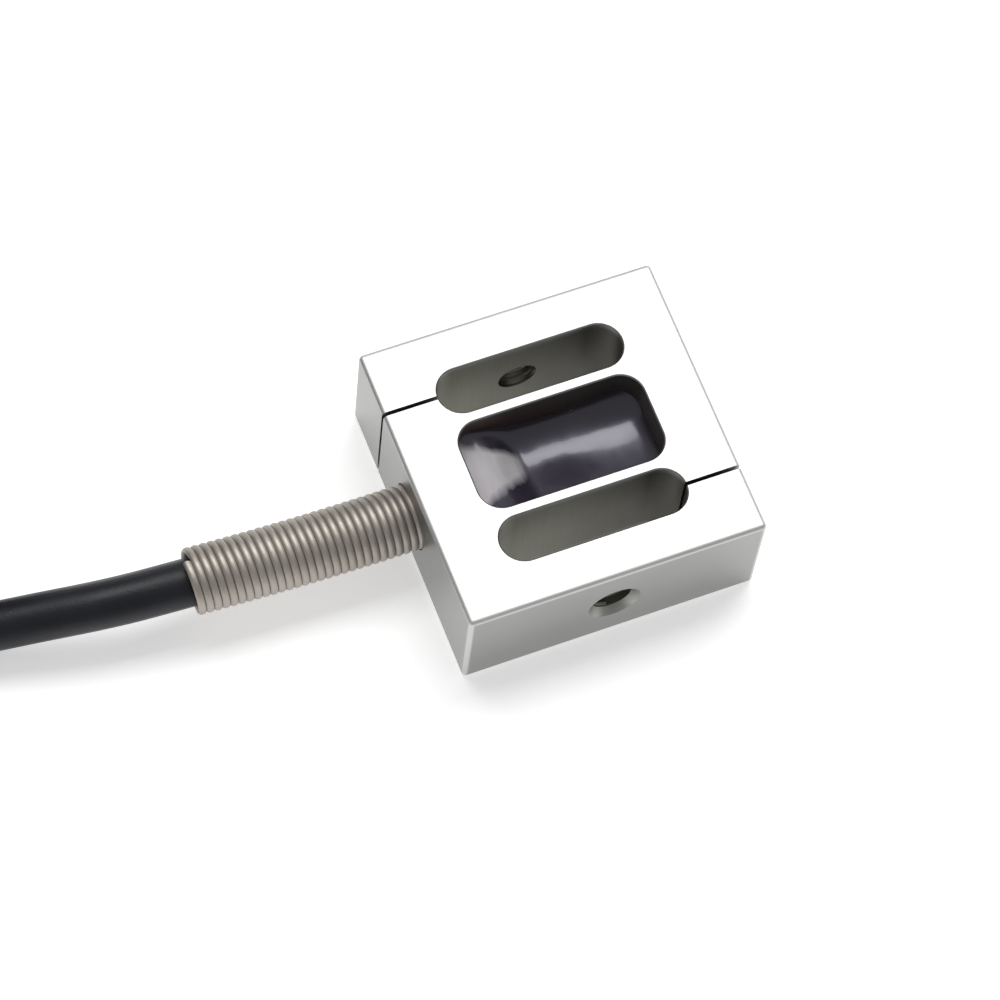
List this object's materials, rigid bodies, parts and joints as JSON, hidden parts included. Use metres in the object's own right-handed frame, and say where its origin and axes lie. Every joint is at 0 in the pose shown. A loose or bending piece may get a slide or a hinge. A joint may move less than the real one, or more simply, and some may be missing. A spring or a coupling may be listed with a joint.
{
  "type": "s type load cell",
  "caption": "Miniature S-beam load cell: slotted metal block with a threaded hole in each end and a potted gauge window; its cable leaves one side through a spring relief.",
  "frame": {"origin": "middle of the block's back face, which it rests on", "axes": "+Y along the line of load towards the upper threaded hole, +Z out of the front face, -X towards the cable"},
  "size_m": [0.0823, 0.0562, 0.0188],
  "materials": {
    "body_steel": "satin, nickel plated",
    "potting": "glossy cured potting compound",
    "board": "solder-masked laminate",
    "resistor": "matte",
    "brass": "bright",
    "spring_steel": "drawn stainless wire",
    "jacket": "satin",
    "tie": "moulded nylon",
    "shrink": "satin heat-shrink",
    "tinned": "tinned copper",
    "gauge_foil": "foil on amber film",
    "core_red": "smooth",
    "core_black": "smooth",
    "core_green": "smooth",
    "core_white": "smooth"
  },
  "bodies": {
    "root": {"flexure_body": "body_steel", "potting_compound": "potting", "bridge_board": "board", "balance_resistor": "resistor", "crimp_sleeve": "brass", "relief_spring": "spring_steel", "cable_entry": "jacket", "cable_lead": "jacket", "cable_coil": "jacket", "cable_tail": "jacket", "coil_tie": "tie", "heat_shrink": "shrink", "tinned_tips": "tinned", "strain_gauge_upper_left": "gauge_foil", "strain_gauge_upper_right": "gauge_foil", "strain_gauge_lower_left": "gauge_foil", "strain_gauge_lower_right": "gauge_foil", "gauge_leads_upper_left": "tinned", "gauge_leads_upper_right": "tinned", "gauge_leads_lower_left": "tinned", "gauge_leads_lower_right": "tinned", "inner_core_red": "core_red", "inner_core_black": "core_black", "inner_core_green": "core_green", "inner_core_white": "core_white", "core_red": "core_red", "core_black": "core_black", "core_green": "core_green", "core_white": "core_white"}
  },
  "joints": []
}
